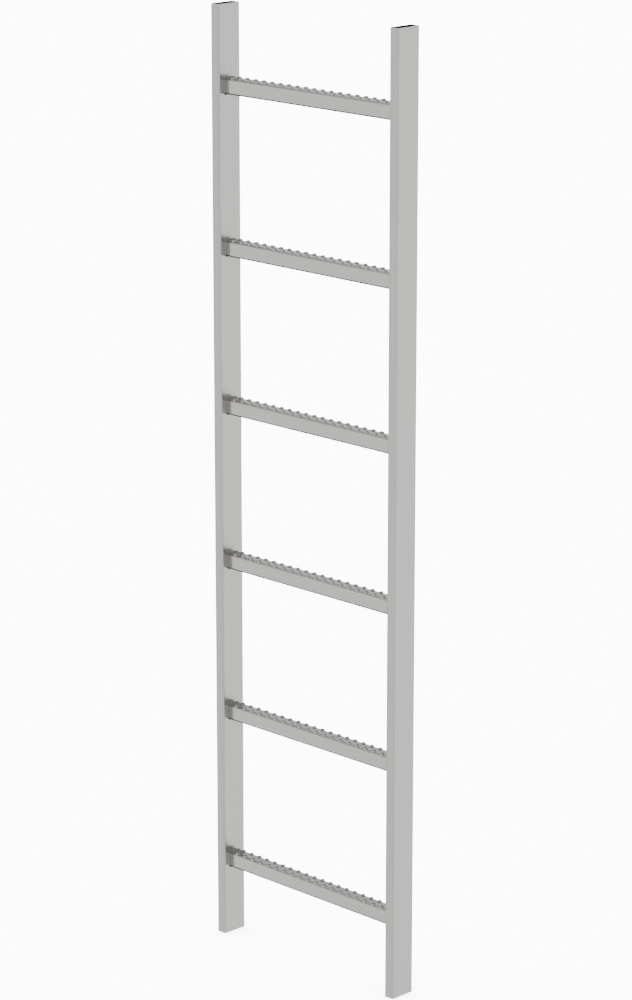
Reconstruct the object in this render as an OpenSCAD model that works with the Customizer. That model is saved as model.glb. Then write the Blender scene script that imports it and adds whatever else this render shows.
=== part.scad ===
// Vertical ladder section in welded stainless steel: two rectangular hollow stiles and
// C-section rungs whose treads carry two rows of raised anti-slip collars.
// Millimetres. The ladder stands on the ends of its stiles at z = 0, midway between them
// is x = 0, and it is climbed from the -Y side.

/* [Ladder] */
// Number of rungs
rung_count = 6; // [2:1:8]
// Height from one tread to the next
rung_pitch = 280; // [225:5:300]
// Clear width between the stiles
clear_w = 400; // [300:20:500]

/* [Stiles] */
// Width of a stile, seen from the front
stile_w = 20; // [20:1:30]
// Depth of a stile, front to back
stile_d = 50; // [40:1:80]
// Wall of the stile tube
stile_wall = 1.5; // [1:0.5:2]
// Outer corner radius of the stile tube
stile_r = 3; // [2:0.5:5]

/* [Rungs] */
// Depth of a rung, front to back
rung_d = 25; // [24:1:35]
// Height of a rung, from its lips to its tread
rung_h = 28; // [22:1:35]
// Thickness of the rung sheet
rung_wall = 2; // [1.5:0.5:2.5]
// Outer bend radius of the rung sheet
rung_r = 4; // [3:0.5:4.5]
// Width of the slot between the lips under a rung
slot_w = 11; // [8:1:14]

/* [Grip collars] */
// Distance between collars along a rung
collar_pitch = 20; // [15:1:25]
// Distance between the two rows of collars
row_gap = 15.5; // [12:0.5:16]
// Distance that the collars sit to the right of the middle of the rung
collar_shift = -4; // [-5:1:5]
// Height of a collar above the tread
collar_h = 1.8; // [1:0.1:3]
// Outer radius of a collar where it leaves the tread
collar_foot_r = 4.1; // [4:0.1:4.5]
// Outer radius of a collar at its rim
collar_rim_r = 3.8; // [3.3:0.1:4]
// Radius of the hole through a collar
collar_hole_r = 2.3; // [1.5:0.1:2.5]

/* [Welds] */
// Leg length of the weld round each rung end
weld_leg = 1.5; // [1:0.5:3]

/* [Hidden] */
$fn = 48;
height = rung_count * rung_pitch;
stile_x = (clear_w + stile_w) / 2;
// The first rung's middle is half a pitch above the floor.
first_z = rung_pitch / 2;
collar_count = floor(clear_w / collar_pitch) - 1;
// A collar starts inside the sheet, so that it also joins the bend beside it.
collar_root = 1.9;
rim_chamfer = 0.4;
eps = 1;

RUNGS = [1:rung_count];
SIDES = ["left", "right"];
function rung_name(i) = str("rung_", i);
function weld_name(i, side) = str("weld_", i, "_", side);

function rung_z(i) = first_z + (i - 1) * rung_pitch;

// Rectangle with true round corners, centred on the origin.
module rounded_rect(w, h, r) {
    square([w - 2 * r, h], center = true);
    square([w, h - 2 * r], center = true);
    for (x = [-1, 1], y = [-1, 1])
        translate([x * (w / 2 - r), y * (h / 2 - r)])
        circle(r = r);
}

// Section of a hollow rectangular tube.
module tube_section(w, h, wall, r) {
    difference() {
        rounded_rect(w, h, r);
        rounded_rect(w - 2 * wall, h - 2 * wall, r - wall);
    }
}

// Turns a section drawn in X and Y so that its Y points up and it runs along +X.
module along_x() {
    rotate([90, 0, 90])
        children();
}

// Hollow stile, open at both ends.
module stile(side) {
    color("silver")
    translate([side * stile_x, 0, 0])
    linear_extrude(height)
    tube_section(stile_w, stile_d, stile_wall, stile_r);
}

// Bent C-section of a rung, open between its lips underneath.
module rung_channel() {
    along_x()
    linear_extrude(clear_w, center = true)
    difference() {
        tube_section(rung_d, rung_h, rung_wall, rung_r);
        translate([0, -rung_h / 2])
            square([slot_w, 2 * rung_wall + eps], center = true);
    }
}

// Places its children at every collar, on the tread's surface.
module at_collars() {
    for (k = [0:collar_count - 1], row = [-1, 1])
        translate([
            (k - (collar_count - 1) / 2) * collar_pitch + collar_shift,
            row * row_gap / 2,
            rung_h / 2
        ])
        children();
}

// Raised collar, drawn up out of the sheet.
module collar() {
    rotate_extrude()
    polygon([
        [0, -collar_root],
        [collar_foot_r, -collar_root],
        [collar_foot_r, 0],
        [collar_rim_r, collar_h - rim_chamfer],
        [collar_rim_r - rim_chamfer, collar_h],
        [0, collar_h]
    ]);
}

// One rung, ready to weld between the stiles.
module rung(i) {
    color("lightgray")
    translate([0, 0, rung_z(i)])
    difference() {
        union() {
            rung_channel();
            at_collars() collar();
        }
        at_collars()
            translate([0, 0, -rung_wall - eps])
            cylinder(r = collar_hole_r, h = rung_wall + collar_h + 2 * eps);
    }
}

// Section of the weld: outward from the rung along X, away from the stile along Y.
module weld_section() {
    polygon([[0, 0], [weld_leg, 0], [0, weld_leg]]);
}

// Straight run of weld, centred along Y, on a stile face that lies in the XY plane.
module weld_run(length) {
    rotate([90, 0, 0])
    linear_extrude(length, center = true)
    weld_section();
}

// Quarter turn of weld round a bend of the rung.
module weld_corner(turn) {
    rotate(turn)
    rotate_extrude(angle = 90)
    translate([rung_r, 0])
    weld_section();
}

// Weld round the outside of a rung end, on a stile face that lies in the XY plane.
module weld_ring() {
    difference() {
        union() {
            for (quarter = [0:3]) {
                upright = quarter % 2 == 0;
                rotate(90 * quarter)
                translate([(upright ? rung_d : rung_h) / 2, 0, 0])
                weld_run((upright ? rung_h : rung_d) - 2 * rung_r);
            }
            for (quarter = [0:3]) {
                x = (quarter == 0 || quarter == 3) ? 1 : -1;
                y = quarter < 2 ? 1 : -1;
                translate([x * (rung_d / 2 - rung_r), y * (rung_h / 2 - rung_r), 0])
                weld_corner(90 * quarter);
            }
        }
        translate([-slot_w / 2, -rung_h / 2 - weld_leg - eps, -eps])
            cube([slot_w, weld_leg + 2 * eps, weld_leg + 2 * eps]);
    }
}

// Weld between one rung and one stile.
module weld(i, side) {
    color("darkgray")
    translate([0, 0, rung_z(i)])
    mirror([side == "left" ? 0 : 1, 0, 0])
    translate([-clear_w / 2, 0, 0])
    along_x() weld_ring();
}

stile(-1);  // stile_left
stile(1);  // stile_right
for (i = RUNGS)
    rung(i);
for (i = RUNGS, side = SIDES)
    weld(i, side);
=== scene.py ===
import math

import bmesh
import bpy
import numpy as np
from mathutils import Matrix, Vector


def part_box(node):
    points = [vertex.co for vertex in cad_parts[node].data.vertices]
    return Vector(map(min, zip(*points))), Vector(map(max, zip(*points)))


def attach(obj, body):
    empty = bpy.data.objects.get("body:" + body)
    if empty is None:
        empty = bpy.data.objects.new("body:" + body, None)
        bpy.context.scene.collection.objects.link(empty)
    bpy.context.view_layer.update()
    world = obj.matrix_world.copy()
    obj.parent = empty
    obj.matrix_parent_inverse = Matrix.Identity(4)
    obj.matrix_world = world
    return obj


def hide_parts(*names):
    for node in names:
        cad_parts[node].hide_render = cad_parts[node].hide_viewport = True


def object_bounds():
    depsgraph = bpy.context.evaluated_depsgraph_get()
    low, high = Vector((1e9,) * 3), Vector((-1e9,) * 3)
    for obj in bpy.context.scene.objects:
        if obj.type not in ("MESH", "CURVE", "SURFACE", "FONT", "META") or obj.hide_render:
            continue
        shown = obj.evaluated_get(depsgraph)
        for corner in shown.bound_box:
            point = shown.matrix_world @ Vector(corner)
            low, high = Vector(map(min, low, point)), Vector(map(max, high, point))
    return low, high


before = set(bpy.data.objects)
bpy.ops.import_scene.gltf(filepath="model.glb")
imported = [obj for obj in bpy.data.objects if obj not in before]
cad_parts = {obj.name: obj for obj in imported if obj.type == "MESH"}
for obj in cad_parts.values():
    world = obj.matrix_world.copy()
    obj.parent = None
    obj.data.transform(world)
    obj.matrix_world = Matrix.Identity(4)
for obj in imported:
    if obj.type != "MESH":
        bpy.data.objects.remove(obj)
cad_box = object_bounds()

# A welded stainless-steel ladder section. Every visible piece is built here, in metres, over
# the CAD node that it stands for: hollow stiles with broken edges, rungs whose sheet is drawn
# up into pierced collars, and rippled weld beads round the rung ends.

MM = 0.001
BODY = "root"

# The rung and tube sizes that a node's box can't give.
STILE_WALL = 1.5 * MM
STILE_R = 3.0 * MM
RUNG_WALL = 2.0 * MM
RUNG_R = 4.0 * MM
SLOT_W = 11.0 * MM
COLLAR_H = 1.8 * MM
COLLAR_PITCH = 20.0 * MM
COLLAR_ROW = 7.75 * MM
COLLAR_SHIFT = -4.0 * MM
EDGE_BREAK = 0.35 * MM
WELD_LEG = 1.5 * MM

RUNG_NODES = sorted(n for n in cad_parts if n.startswith("rung_"))
STILE_NODES = ["stile_left", "stile_right"]
SIDES = ["left", "right"]


# ---------------------------------------------------------------- mesh building

# Points closer than this are one vertex.
MERGE = 0.002 * MM


class Sheet:
    """Collects points, faces and UVs, and merges the points that meet."""

    def __init__(self):
        self.points = []
        self.uvs = []
        self.faces = []
        self.count = 0

    def add_grid(self, rows, uv_rows, wrap=False):
        """Quads between rows of points. Each row is an (n, 3) array; wrap joins each row's ends."""
        first = self.count
        width = len(rows[0])
        for row, uv in zip(rows, uv_rows):
            self.points.append(np.asarray(row, float))
            self.uvs.append(np.asarray(uv, float))
            self.count += width
        last = width if wrap else width - 1
        for i in range(len(rows) - 1):
            for j in range(last):
                a = first + i * width + j
                b = first + i * width + (j + 1) % width
                self.faces.append((a, b, b + width, a + width))

    def to_object(self, name, material):
        """The finished object, with its vertices merged and its shading eased by face area."""
        points = np.concatenate(self.points)
        uvs = np.concatenate(self.uvs)
        keys = np.round(points / MERGE).astype(np.int64)
        _, keep, where = np.unique(keys, axis=0, return_index=True, return_inverse=True)
        where = where.reshape(-1)
        faces = []
        corner_uvs = []
        for face in self.faces:
            ring = [int(where[v]) for v in face]
            kept = [k for k in range(len(ring)) if ring[k] != ring[k - 1]]
            if len(kept) < 3:
                continue
            faces.append([ring[k] for k in kept])
            corner_uvs.extend(uvs[face[k]] for k in kept)
        mesh = bpy.data.meshes.new(name)
        mesh.from_pydata(points[keep].tolist(), [], faces)
        layer = mesh.uv_layers.new(name="grain")
        layer.data.foreach_set("uv", np.asarray(corner_uvs, np.float32).ravel())
        mesh.materials.append(material)
        face_outward(mesh)
        ease_shading(mesh)
        obj = bpy.data.objects.new(name, mesh)
        bpy.context.scene.collection.objects.link(obj)
        return obj


def face_outward(mesh):
    """Turns every face of a closed mesh to look outward."""
    work = bmesh.new()
    work.from_mesh(mesh)
    bmesh.ops.recalc_face_normals(work, faces=work.faces)
    work.to_mesh(mesh)
    work.free()


def ease_shading(mesh):
    """Smooth shading whose normals lean to the larger faces, so flats stay flat beside rounds."""
    mesh.update()
    normals = np.zeros((len(mesh.vertices), 3))
    for poly in mesh.polygons:
        weighted = np.array(poly.normal) * poly.area
        for v in poly.vertices:
            normals[v] += weighted
    lengths = np.linalg.norm(normals, axis=1, keepdims=True)
    normals /= np.maximum(lengths, 1e-12)
    mesh.shade_smooth()
    mesh.normals_split_custom_set_from_vertices(normals.tolist())


ARC_STEPS = 7


def rounded_rect(width, depth, radius):
    """Points round a rectangle with round corners, anticlockwise from the top of its +X side."""
    points = []
    corners = [(1, 1), (-1, 1), (-1, -1), (1, -1)]
    for quarter, (sx, sy) in enumerate(corners):
        centre = (sx * (width / 2 - radius), sy * (depth / 2 - radius))
        for step in range(ARC_STEPS + 1):
            angle = math.radians(90 * (quarter + step / ARC_STEPS))
            x = centre[0] + radius * math.cos(angle)
            y = centre[1] + radius * math.sin(angle)
            points.append((x, y))
    return np.array(points)


def around(points):
    """Distance along an outline at each of its points."""
    steps = np.linalg.norm(np.diff(points, axis=0), axis=1)
    return np.concatenate([[0], np.cumsum(steps)])


# ---------------------------------------------------------------- stiles

# Rings of points up a stile, and how deep the middle of a broken edge lies.
STILE_STATIONS = 43
HALF_BREAK = EDGE_BREAK * (1 - math.sqrt(0.5))


def build_stile(node, material):
    """Hollow stile: one skin that runs up the outside, over the cut end and down the bore."""
    low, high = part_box(node)
    middle = (low + high) / 2
    width = high.x - low.x
    depth = high.y - low.y
    heights = np.linspace(low.z + EDGE_BREAK, high.z - EDGE_BREAK, STILE_STATIONS)
    top = [
        (HALF_BREAK, high.z - HALF_BREAK),
        (EDGE_BREAK, high.z),
        (STILE_WALL - EDGE_BREAK, high.z),
        (STILE_WALL - HALF_BREAK, high.z - HALF_BREAK),
    ]
    bottom = [
        (STILE_WALL - HALF_BREAK, low.z + HALF_BREAK),
        (STILE_WALL - EDGE_BREAK, low.z),
        (EDGE_BREAK, low.z),
        (HALF_BREAK, low.z + HALF_BREAK),
    ]
    path = [(0.0, z) for z in heights] + top
    path += [(STILE_WALL, z) for z in heights[::-1]] + bottom
    path.append(path[0])
    outline = rounded_rect(width, depth, STILE_R)
    run = around(outline)
    rows = []
    uv_rows = []
    for inset, z in path:
        ring = rounded_rect(width - 2 * inset, depth - 2 * inset, STILE_R - inset)
        ring = np.vstack([ring, ring[:1]])
        rows.append(np.column_stack([ring + (middle.x, middle.y), np.full(len(ring), z)]))
        uv_rows.append(np.column_stack([np.append(run, run[-1] + depth), np.full(len(ring), z)]))
    sheet = Sheet()
    sheet.add_grid(rows, uv_rows)
    return sheet.to_object(node + "_tube", material)


# ---------------------------------------------------------------- rungs

# The collar cells reach this far round the bend from the tread.
BEND_TOP = math.radians(70)
CELL_X_STEPS = 10
CELL_Y_STEPS = 6
RING_STEPS = 2 * (CELL_X_STEPS + CELL_Y_STEPS)
# Rings of the outer skin from a cell's edge in to the collar, and of the inner skin outward.
OUTER_PARTS = (1.0, 0.66, 0.33)
INNER_PARTS = (0.0, 0.4, 0.7, 1.0)
# Radius of a hole where it breaks out of the underside of the sheet.
FLARE_R = 2.38 * MM
BEND_TOP_STEPS = 3
BEND_STEPS = 10


class RungShape:
    """Where the sheet of one rung lies, worked out from its CAD box."""

    def __init__(self, node):
        low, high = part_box(node)
        self.x0, self.x1 = low.x, high.x
        self.half = (high.y - low.y) / 2
        self.tread = high.z - COLLAR_H
        self.foot = low.z

    def surface_z(self, y, inner=False):
        """Height of the outer or inner skin over y, on the tread and the bend beside it."""
        radius = RUNG_R - RUNG_WALL if inner else RUNG_R
        past = np.maximum(np.abs(y) - (self.half - RUNG_R), 0)
        drop = RUNG_R - np.sqrt(np.maximum(radius**2 - past**2, 0))
        return self.tread - drop

    def edge_y(self, inner=False):
        """The y on the bend where the collar cells end and the plain sheet starts."""
        radius = RUNG_R - RUNG_WALL if inner else RUNG_R
        return self.half - RUNG_R + radius * math.sin(BEND_TOP)

    def cell_ys(self, inner=False):
        """The y stations across a cell, from the middle of the tread to its edge on the bend."""
        radius = RUNG_R - RUNG_WALL if inner else RUNG_R
        flat = self.half - RUNG_R
        turns = [BEND_TOP * k / (CELL_Y_STEPS - 2) for k in range(CELL_Y_STEPS - 1)]
        arc = [flat + radius * math.sin(turn) for turn in turns]
        return np.array([0.0, flat / 2, *arc])

    def side_profile(self, side, inner=False):
        """Outline in (y, z) from the cells' edge down the bend, the flange, and in along the lip."""
        radius = RUNG_R - RUNG_WALL if inner else RUNG_R
        top = self.tread - RUNG_R
        bottom = self.foot + RUNG_R
        centre = self.half - RUNG_R
        lip = self.foot + (RUNG_WALL if inner else 0)
        points = []
        for angle in np.linspace(BEND_TOP, math.pi / 2, BEND_TOP_STEPS):
            points.append((centre + radius * math.sin(angle), top + radius * math.cos(angle)))
        for angle in np.linspace(math.pi / 2, math.pi, BEND_STEPS):
            points.append((centre + radius * math.sin(angle), bottom + radius * math.cos(angle)))
        points.append((SLOT_W / 2 + EDGE_BREAK, lip))
        return np.array([(side * y, z) for y, z in points])


# The skin of a collar over its rim: radius and height above the tread, in millimetres.
COLLAR_WALL = [(4.3, 0.0), (4.08, 0.08), (3.93, 0.26), (3.85, 0.56), (3.8, 0.96), (3.76, 1.38)]
COLLAR_RIM = [(3.67, 1.64), (3.5, 1.78), (3.25, 1.8), (2.95, 1.78), (2.65, 1.66), (2.42, 1.4), (2.29, 1.0)]
COLLAR_BORE = [(2.26, 0.2), (2.26, -0.9), (2.31, -1.5)]
FOOT_R = COLLAR_WALL[0][0] * MM


def collar_profile():
    """The skin of a collar from its foot, over the rim and down the hole: (radius, height, ease).

    Ease is how far the skin has left the sheet's own surface, from 0 to 1. Heights are above
    the tread."""
    top = COLLAR_WALL[-1][1]
    rows = [(radius * MM, top * MM, height / top) for radius, height in COLLAR_WALL]
    rows += [(radius * MM, height * MM, 1.0) for radius, height in COLLAR_RIM + COLLAR_BORE]
    return rows


def cell_boundary(x_low, x_high, ys):
    """Plan points round a cell, from its (high x, first y) corner, anticlockwise."""
    xs = np.linspace(x_high, x_low, CELL_X_STEPS + 1)
    up = [(x_high, y) for y in ys[:-1]]
    across = [(x, ys[-1]) for x in xs[:-1]]
    down = [(x_low, y) for y in ys[::-1][:-1]]
    back = [(x, ys[0]) for x in xs[::-1][:-1]]
    return np.array(up + across + down + back)


def add_cell(sheet, shape, x, side):
    """One collar and the piece of sheet round it, both skins."""
    turns = [(k - CELL_Y_STEPS / 2) / RING_STEPS for k in range(RING_STEPS)]
    ring_angles = 2 * math.pi * np.array(turns)
    circle = np.column_stack([np.cos(ring_angles), np.sin(ring_angles)])
    centre = np.array([x, COLLAR_ROW])
    half = COLLAR_PITCH / 2
    rows = []

    def put(plan, z):
        rows.append(np.column_stack([plan[:, 0], side * plan[:, 1], z]))

    outer_edge = cell_boundary(x - half, x + half, shape.cell_ys())
    foot = centre + FOOT_R * circle
    for part in OUTER_PARTS:
        plan = foot + part * (outer_edge - foot)
        put(plan, shape.surface_z(plan[:, 1]))
    for radius, height, ease in collar_profile():
        plan = centre + radius * circle
        ground = shape.surface_z(plan[:, 1])
        put(plan, ground + ease * (shape.tread + height - ground))
    flare = centre + FLARE_R * circle
    inner_edge = cell_boundary(x - half, x + half, shape.cell_ys(inner=True))
    for part in INNER_PARTS:
        plan = flare + part * (inner_edge - flare)
        put(plan, shape.surface_z(plan[:, 1], inner=True))
    rows = [np.vstack([row, row[:1]]) for row in rows]
    uv_rows = [np.column_stack([row[:, 1], row[:, 0]]) for row in rows]
    if side < 0:
        rows = [row[::-1] for row in rows]
        uv_rows = [uv[::-1] for uv in uv_rows]
    sheet.add_grid(rows, uv_rows)


def add_plain(sheet, shape, xs, profile_outer, profile_inner, end_caps=()):
    """A stretch of plain bent sheet along X: both skins, and the cut ends that end_caps names."""
    for profile, inward in ((profile_outer, False), (profile_inner, True)):
        run = np.concatenate([[0], np.cumsum(np.linalg.norm(np.diff(profile, axis=0), axis=1))])
        rows = []
        uv_rows = []
        for x in xs:
            rows.append(np.column_stack([np.full(len(profile), x), profile]))
            uv_rows.append(np.column_stack([run, np.full(len(profile), x)]))
        if inward:
            rows = rows[::-1]
            uv_rows = uv_rows[::-1]
        sheet.add_grid(rows, uv_rows)
    for x, turn in end_caps:
        outer = np.column_stack([np.full(len(profile_outer), x), profile_outer])
        inner = np.column_stack([np.full(len(profile_inner), x), profile_inner])
        rows = [outer, inner][::turn]
        sheet.add_grid(rows, [row[:, 1:] for row in rows])


def build_rung(node, material):
    """One rung: cells with collars along the tread, plain sheet at its ends and down its sides."""
    shape = RungShape(node)
    sheet = Sheet()
    length = shape.x1 - shape.x0
    cells = round(length / COLLAR_PITCH) - 1
    middles = [(k - (cells - 1) / 2) * COLLAR_PITCH + COLLAR_SHIFT for k in range(cells)]
    for side in (-1, 1):
        for x in middles:
            add_cell(sheet, shape, x, side)
    step = COLLAR_PITCH / CELL_X_STEPS
    stations = np.linspace(shape.x0, shape.x1, round(length / step) + 1)
    left_steps = round((middles[0] - COLLAR_PITCH / 2 - shape.x0) / step)
    right_steps = round((shape.x1 - middles[-1] - COLLAR_PITCH / 2) / step)
    ends = [(stations[: left_steps + 1], [(shape.x0, 1)]), (stations[-right_steps - 1:], [(shape.x1, -1)])]
    for side in (-1, 1):
        outer_ys = shape.cell_ys()
        inner_ys = shape.cell_ys(inner=True)
        outer = np.column_stack([side * outer_ys, shape.surface_z(outer_ys)])
        inner = np.column_stack([side * inner_ys, shape.surface_z(inner_ys, inner=True)])
        for xs, caps in ends:
            add_side(sheet, shape, xs, outer, inner, caps, side)
        outer = shape.side_profile(side)
        inner = shape.side_profile(side, inner=True)
        add_side(sheet, shape, stations, outer, inner, [(shape.x0, 1), (shape.x1, -1)], side)
        add_lip(sheet, shape, stations, side)
    return sheet.to_object(node + "_tread", material)


def add_side(sheet, shape, xs, outer, inner, caps, side):
    """Plain sheet on one side of the rung, wound so that its faces look outward."""
    if side > 0:
        add_plain(sheet, shape, xs, outer, inner, caps)
        return
    mirrored = Sheet()
    add_plain(mirrored, shape, xs, outer, inner, caps)
    offset = sheet.count
    sheet.points += mirrored.points
    sheet.uvs += mirrored.uvs
    sheet.faces += [tuple(v + offset for v in face[::-1]) for face in mirrored.faces]
    sheet.count += mirrored.count


def add_lip(sheet, shape, xs, side):
    """The cut edge of a lip, with its corners broken, and its two ends."""
    edge = SLOT_W / 2
    broken = EDGE_BREAK
    half = HALF_BREAK
    low = shape.foot
    high = shape.foot + RUNG_WALL
    outline = np.array([
        (edge + broken, low),
        (edge + half, low + half),
        (edge, low + broken),
        (edge, high - broken),
        (edge + half, high - half),
        (edge + broken, high),
    ])
    outline[:, 0] *= side
    run = np.arange(len(outline)) * broken
    rows = [np.column_stack([np.full(len(outline), x), outline]) for x in xs]
    uv_rows = [np.column_stack([run, np.full(len(outline), x)]) for x in xs]
    if side < 0:
        rows = rows[::-1]
        uv_rows = uv_rows[::-1]
    sheet.add_grid(rows, uv_rows)
    for x, turn in ((xs[0], 1), (xs[-1], -1)):
        front = np.column_stack([np.full(3, x), outline[:3]])
        back = np.column_stack([np.full(3, x), outline[:2:-1]])
        rows = [front, back][::turn * side]
        sheet.add_grid(rows, [row[:, 1:] for row in rows])


# ---------------------------------------------------------------- weld beads

RIPPLE = 1.3 * MM
RIPPLE_STEPS = 8
BEAD_STEPS = 8
# The bead stops this far short of the lips' edges, and tapers over BEAD_TAPER.
BEAD_STOP = 0.6 * MM
BEAD_TAPER = 1.6 * MM
BEAD_TIP = 0.12
# Size of the bead against WELD_LEG, how far it bulges, and how deep its ripples are.
BEAD_SIZE = 0.92
BEAD_BULGE = 0.10 * WELD_LEG
RIPPLE_DEPTH = 0.055 * MM
RIPPLE_CURVE = 0.55
RIPPLE_DRIFT = 0.012
# Slow swelling of the bead along its run: shares of its size, and wavelengths over 2 pi.
SWELL = 0.05
SWELL_RUN = 9 * MM
FINE_SWELL = 0.03
FINE_SWELL_RUN = 3.1 * MM


def weld_path(shape):
    """Points and outward normals in (y, z) round a rung end, from lip to lip, and the distance."""
    legs = []
    centre_y = shape.half - RUNG_R
    top = shape.tread - RUNG_R
    bottom = shape.foot + RUNG_R
    inset = SLOT_W / 2 + BEAD_STOP
    corners = [
        (-centre_y, bottom, 180),
        (-centre_y, top, 270),
        (centre_y, top, 0),
        (centre_y, bottom, 90),
    ]
    legs.append(("line", (-inset, shape.foot), (-centre_y, shape.foot)))
    for k, (y, z, start) in enumerate(corners):
        legs.append(("arc", (y, z), start))
        if k < 3:
            end = corners[k + 1]
            legs.append(("line", arc_point(y, z, start + 90), arc_point(end[0], end[1], end[2])))
    legs.append(("line", (centre_y, shape.foot), (inset, shape.foot)))
    step = RIPPLE / RIPPLE_STEPS
    points = []
    normals = []
    for kind, a, b in legs:
        if kind == "line":
            a = np.array(a)
            b = np.array(b)
            length = np.linalg.norm(b - a)
            direction = (b - a) / length
            normal = np.array([-direction[1], direction[0]])
            count = max(1, round(length / step))
            for k in range(count):
                points.append(a + direction * length * k / count)
                normals.append(normal)
        else:
            count = max(1, round(RUNG_R * math.pi / 2 / step))
            for k in range(count):
                angle = math.radians(b + 90 * k / count)
                normal = np.array([math.sin(angle), math.cos(angle)])
                points.append(np.array(a) + RUNG_R * normal)
                normals.append(normal)
    points = np.array(points)
    normals = np.array(normals)
    run = np.concatenate([[0], np.cumsum(np.linalg.norm(np.diff(points, axis=0), axis=1))])
    return points, normals, run


def arc_point(y, z, turn):
    """The point of a bend at a turn in degrees, clockwise from straight up."""
    angle = math.radians(turn)
    return (y + RUNG_R * math.sin(angle), z + RUNG_R * math.cos(angle))


def build_weld(node, rung_node, side, material):
    """A rippled fillet bead round one rung end."""
    shape = RungShape(rung_node)
    points, normals, run = weld_path(shape)
    wall_x = shape.x0 if side == "left" else shape.x1
    away = 1 if side == "left" else -1
    rng = np.random.default_rng(sum(map(ord, node)))
    drift = np.cumsum(rng.normal(0, RIPPLE_DRIFT, len(run)))
    swell = 1 + SWELL * np.sin(run / SWELL_RUN + rng.uniform(0, 6))
    swell = swell + FINE_SWELL * np.sin(run / FINE_SWELL_RUN)
    ends = np.clip(np.minimum(run, run[-1] - run) / BEAD_TAPER, 0.0, 1.0)
    taper = np.maximum(np.sqrt(ends * (2 - ends)), BEAD_TIP)
    rows = []
    uv_rows = []
    parts = np.linspace(0, 1, BEAD_STEPS + 1)
    for k, (point, normal) in enumerate(zip(points, normals)):
        size = WELD_LEG * BEAD_SIZE * swell[k] * taper[k]
        phase = run[k] / RIPPLE + drift[k] + RIPPLE_CURVE * (2 * parts - 1) ** 2
        scallop = 1 - (2 * (phase % 1.0) - 1) ** 2
        bulge = BEAD_BULGE * np.sin(math.pi * parts) * taper[k]
        bulge = bulge + RIPPLE_DEPTH * scallop * np.sin(math.pi * parts) ** 0.5 * taper[k]
        out = size * parts + bulge * math.sqrt(0.5)
        off = size * (1 - parts) + bulge * math.sqrt(0.5)
        out = np.append(out, 0.0)
        off = np.append(off, 0.0)
        row = np.column_stack([
            wall_x + away * off,
            point[0] + normal[0] * out,
            point[1] + normal[1] * out,
        ])
        row = np.vstack([row, row[:1]])
        rows.append(row)
        across = np.append(parts, [1.2, 1.4]) * WELD_LEG
        uv_rows.append(np.column_stack([across, np.full(len(row), run[k])]))
    sheet = Sheet()
    sheet.add_grid(rows, uv_rows)
    for row, turn in ((rows[0], 1), (rows[-1], -1)):
        root = np.repeat(row[-2:-1], len(row), axis=0)
        pair = [root, row][::turn]
        sheet.add_grid(pair, [np.zeros((len(row), 2))] * 2)
    return sheet.to_object(node + "_bead", material)


# ---------------------------------------------------------------- materials

def node_of(tree, kind, **settings):
    """A shader node with its plain inputs and properties set by name."""
    made = tree.nodes.new(kind)
    for key, value in settings.items():
        if key in made.inputs:
            made.inputs[key].default_value = value
        else:
            setattr(made, key, value)
    return made


def scaled_noise(tree, source, size, detail=3.0, rough=0.5):
    """Noise whose grains are size = (x, y, z) metres."""
    scale = node_of(tree, "ShaderNodeVectorMath", operation="MULTIPLY")
    scale.inputs[1].default_value = [1 / s for s in size]
    tree.links.new(source, scale.inputs[0])
    noise = node_of(tree, "ShaderNodeTexNoise", Scale=1.0, Detail=detail, Roughness=rough)
    tree.links.new(scale.outputs[0], noise.inputs["Vector"])
    return noise.outputs["Fac"]


def math_node(tree, operation, *values):
    """A Math node on values or sockets."""
    made = node_of(tree, "ShaderNodeMath", operation=operation)
    for socket, value in zip(made.inputs, values):
        if isinstance(value, (int, float)):
            socket.default_value = value
        else:
            tree.links.new(value, socket)
    return made.outputs[0]


def ramp(tree, value, low, high, to_low=0.0, to_high=1.0):
    """A smooth step of value between low and high."""
    made = node_of(tree, "ShaderNodeMapRange", interpolation_type="SMOOTHSTEP")
    tree.links.new(value, made.inputs["Value"])
    made.inputs["From Min"].default_value = low
    made.inputs["From Max"].default_value = high
    made.inputs["To Min"].default_value = to_low
    made.inputs["To Max"].default_value = to_high
    return made.outputs["Result"]


def mix_colour(tree, factor, a, b):
    """A blend of two colours, each an (r, g, b) or a socket."""
    made = node_of(tree, "ShaderNodeMix", data_type="RGBA")
    tree.links.new(factor, made.inputs["Factor"])
    for socket, value in ((made.inputs[6], a), (made.inputs[7], b)):
        if isinstance(value, tuple):
            socket.default_value = (*value, 1.0)
        else:
            tree.links.new(value, socket)
    return made.outputs[2]


def blend_of(tree, a, share_a, b, share_b):
    """Two values added in the shares given."""
    first = math_node(tree, "MULTIPLY", a, share_a)
    second = math_node(tree, "MULTIPLY", b, share_b)
    return math_node(tree, "ADD", first, second)


# Size of the slow changes of tone, in metres, and how far the roughness wanders.
CLOUD = (0.035, 0.035, 0.05)
ROUGH_SPREAD = 0.035


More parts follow.
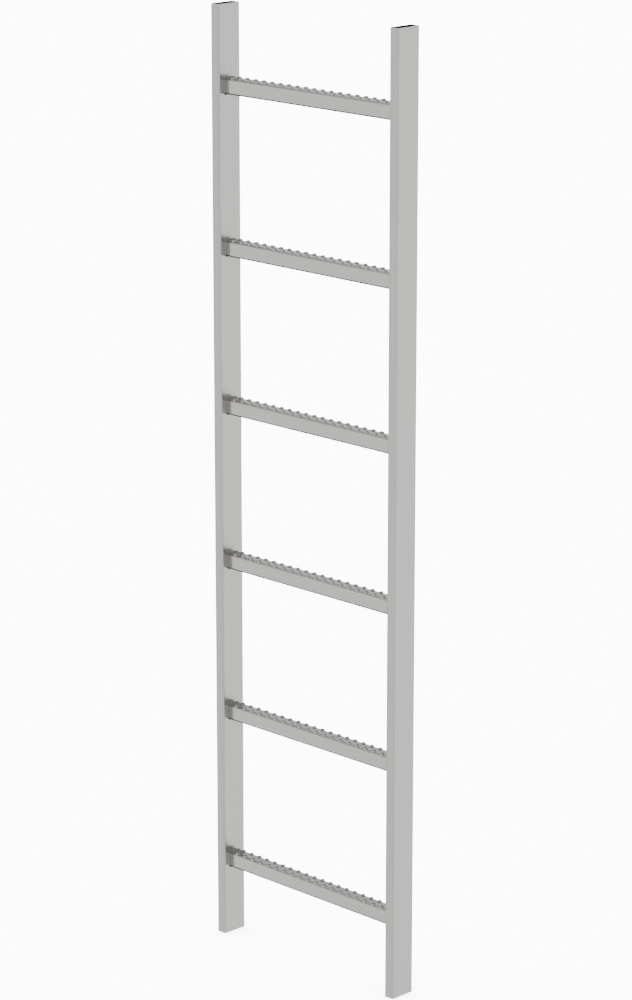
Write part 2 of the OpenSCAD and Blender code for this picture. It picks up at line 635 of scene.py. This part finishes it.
def steel(name, tint, grain, roughness, anisotropy=0.75):
    """Satin stainless steel with a brushed grain whose streaks are grain = (x, y, z) metres."""
    material = bpy.data.materials.new(name)
    material.use_nodes = True
    tree = material.node_tree
    shader = tree.nodes["Principled BSDF"]
    shader.inputs["Metallic"].default_value = 1.0
    shader.inputs["Anisotropic"].default_value = anisotropy
    spot = node_of(tree, "ShaderNodeTexCoord").outputs["Object"]
    fine = scaled_noise(tree, spot, grain, detail=2.0)
    streaks = scaled_noise(tree, spot, [9 * g for g in grain], detail=3.0)
    clouds = scaled_noise(tree, spot, CLOUD, detail=4.0)

    darker = tuple(0.955 * c for c in tint)
    lighter = tuple(min(1.0, 1.03 * c) for c in tint)
    tone = blend_of(tree, streaks, 0.6, clouds, 0.4)
    colour = mix_colour(tree, ramp(tree, tone, 0.36, 0.64), darker, lighter)
    tree.links.new(colour, shader.inputs["Base Color"])

    spread = blend_of(tree, fine, 0.5, clouds, 0.5)
    rough = ramp(tree, spread, 0.3, 0.7, roughness - ROUGH_SPREAD, roughness + ROUGH_SPREAD)
    tree.links.new(rough, shader.inputs["Roughness"])

    bump = node_of(tree, "ShaderNodeBump", Strength=0.35, Distance=0.012 * MM)
    tree.links.new(fine, bump.inputs["Height"])
    tree.links.new(bump.outputs["Normal"], shader.inputs["Normal"])

    tangent = node_of(tree, "ShaderNodeTangent", direction_type="UV_MAP", uv_map="grain")
    tree.links.new(tangent.outputs[0], shader.inputs["Tangent"])
    return material


# ---------------------------------------------------------------- stage

def add_camera():
    """The camera, at the photograph's viewing angle."""
    azimuth = math.radians(45.04)
    elevation = math.radians(15.39)
    distance = 6.040
    target = Vector((0.0076, 0.0, 0.8496))
    away = Vector((
        math.sin(azimuth) * math.cos(elevation),
        -math.cos(azimuth) * math.cos(elevation),
        math.sin(elevation),
    ))
    data = bpy.data.cameras.new("camera")
    data.sensor_width = 36.0
    data.lens = 127.07
    data.clip_end = 200.0
    camera = bpy.data.objects.new("camera", data)
    camera.location = target + away * distance
    camera.rotation_euler = (math.pi / 2 - elevation, 0.0, azimuth)
    bpy.context.scene.collection.objects.link(camera)
    bpy.context.scene.camera = camera


# Strength of the white behind and under the ladder.
WHITE = 12.0
FLOOR_SIZE = 60.0
# How far the painted shadow on the floor reaches out from the ladder.
FLOOR_SHADE = 0.25


def add_floor():
    """A white floor under the ladder, glowing evenly except for a painted shadow round the ladder's feet.
    The steel mirrors the room instead of the floor.
    """
    mesh = bpy.data.meshes.new("floor")
    level = cad_box[0][2]
    turns = [(-1, -1), (1, -1), (1, 1), (-1, 1)]
    corners = [(x * FLOOR_SIZE, y * FLOOR_SIZE, level) for x, y in turns]
    mesh.from_pydata(corners, [], [(0, 1, 2, 3)])
    floor = bpy.data.objects.new("floor", mesh)
    bpy.context.scene.collection.objects.link(floor)
    material = bpy.data.materials.new("floor_white")
    material.use_nodes = True
    tree = material.node_tree
    tree.nodes.clear()
    # Painted shadow: the floor's glow falls to half where ambient occlusion finds the ladder close by.
    occlusion = node_of(tree, "ShaderNodeAmbientOcclusion", Distance=FLOOR_SHADE, samples=8)
    painted_shadow = ramp(tree, occlusion.outputs["AO"], 0.3, 1.0, 0.5 * WHITE, WHITE)
    glow = node_of(tree, "ShaderNodeEmission")
    glow.inputs["Color"].default_value = (1.0, 1.0, 1.0, 1.0)
    tree.links.new(painted_shadow, glow.inputs["Strength"])
    output = node_of(tree, "ShaderNodeOutputMaterial")
    tree.links.new(glow.outputs[0], output.inputs["Surface"])
    mesh.materials.append(material)
    floor.visible_glossy = False
    floor.visible_diffuse = False


def tilt(tree, split, base, along_x, along_y):
    """A brightness that varies evenly with the direction's X and Y."""
    lean = math_node(tree, "MULTIPLY", split.outputs["X"], along_x)
    lean = math_node(tree, "MULTIPLY_ADD", split.outputs["Y"], along_y, lean)
    return math_node(tree, "ADD", lean, base)


def fade(tree, share, a, b):
    """Value a where share is 0, b where it is 1."""
    made = node_of(tree, "ShaderNodeMix", data_type="FLOAT")
    for socket, value in zip((made.inputs[0], made.inputs[2], made.inputs[3]), (share, a, b)):
        tree.links.new(value, socket)
    return made.outputs[0]


def add_world():
    """A soft studio that the steel mirrors, and plain white behind the ladder.

    The room is brightest just below the horizon, dimmer above it, and nearly dark straight
    down. Just below the horizon it is a little brighter on the camera's side, and much darker
    behind the ladder."""
    world = bpy.data.worlds.new("studio")
    bpy.context.scene.world = world
    world.use_nodes = True
    tree = world.node_tree
    tree.nodes.clear()
    direction = node_of(tree, "ShaderNodeTexCoord").outputs["Generated"]
    split = node_of(tree, "ShaderNodeSeparateXYZ")
    tree.links.new(direction, split.inputs[0])
    up = split.outputs["Z"]
    low = tilt(tree, split, 1.97, -0.25, 0.525)
    near = math_node(tree, "SUBTRACT", split.outputs["X"], split.outputs["Y"])
    low = math_node(tree, "ADD", low, ramp(tree, near, 0.3, 1.3, 0.0, 0.2))
    low = math_node(tree, "ADD", low, ramp(tree, near, -1.1, -0.3, -2.2, 0.0))
    deep = tilt(tree, split, 0.12, 0.05, 0.0)
    high = tilt(tree, split, 1.15, -0.07, 0.26)
    strength = fade(tree, ramp(tree, up, -0.56, -0.43), deep, low)
    top = tilt(tree, split, 0.92, -0.06, 0.0)
    high = fade(tree, ramp(tree, up, 0.12, 0.42), high, top)
    strength = fade(tree, ramp(tree, up, -0.12, 0.12), strength, high)
    room = node_of(tree, "ShaderNodeBackground")
    room.inputs["Color"].default_value = (1.0, 0.995, 0.98, 1.0)
    tree.links.new(strength, room.inputs["Strength"])
    backdrop = node_of(tree, "ShaderNodeBackground", Strength=WHITE)
    backdrop.inputs["Color"].default_value = (1.0, 1.0, 1.0, 1.0)
    seen = node_of(tree, "ShaderNodeLightPath").outputs["Is Camera Ray"]
    blend = node_of(tree, "ShaderNodeMixShader")
    tree.links.new(seen, blend.inputs["Fac"])
    tree.links.new(room.outputs[0], blend.inputs[1])
    tree.links.new(backdrop.outputs[0], blend.inputs[2])
    output = node_of(tree, "ShaderNodeOutputWorld")
    tree.links.new(blend.outputs[0], output.inputs["Surface"])


# ---------------------------------------------------------------- the ladder

def place(piece, node):
    """Puts a finished piece on the ladder's body, in place of its CAD node."""
    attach(piece, BODY)
    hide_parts(node)


add_camera()
add_floor()
add_world()

STEEL = (0.405, 0.401, 0.393)
# Painted shade: the weld beads are coloured at 0.6 of the steel's tint so they stay as dark as the shaded
# corner where each rung meets its stile.
WELD_SHADED_TINT = tuple(0.6 * c for c in STEEL)
# Length and width of a brushed streak, and the speck size of a weld.
STREAK = 45 * MM
FINE = 0.35 * MM
SPECK = 1.2 * MM
stile_steel = steel("stile_steel", STEEL, (FINE, FINE, STREAK), 0.27)
rung_steel = steel("rung_steel", STEEL, (STREAK, FINE, FINE), 0.2, 0.2)
weld_steel = steel("weld_steel", WELD_SHADED_TINT, (SPECK, SPECK, SPECK), 0.38, 0.0)

for node in STILE_NODES:
    place(build_stile(node, stile_steel), node)
for node in RUNG_NODES:
    place(build_rung(node, rung_steel), node)
    for side in SIDES:
        weld = node.replace("rung_", "weld_") + "_" + side
        place(build_weld(weld, node, side, weld_steel), weld)
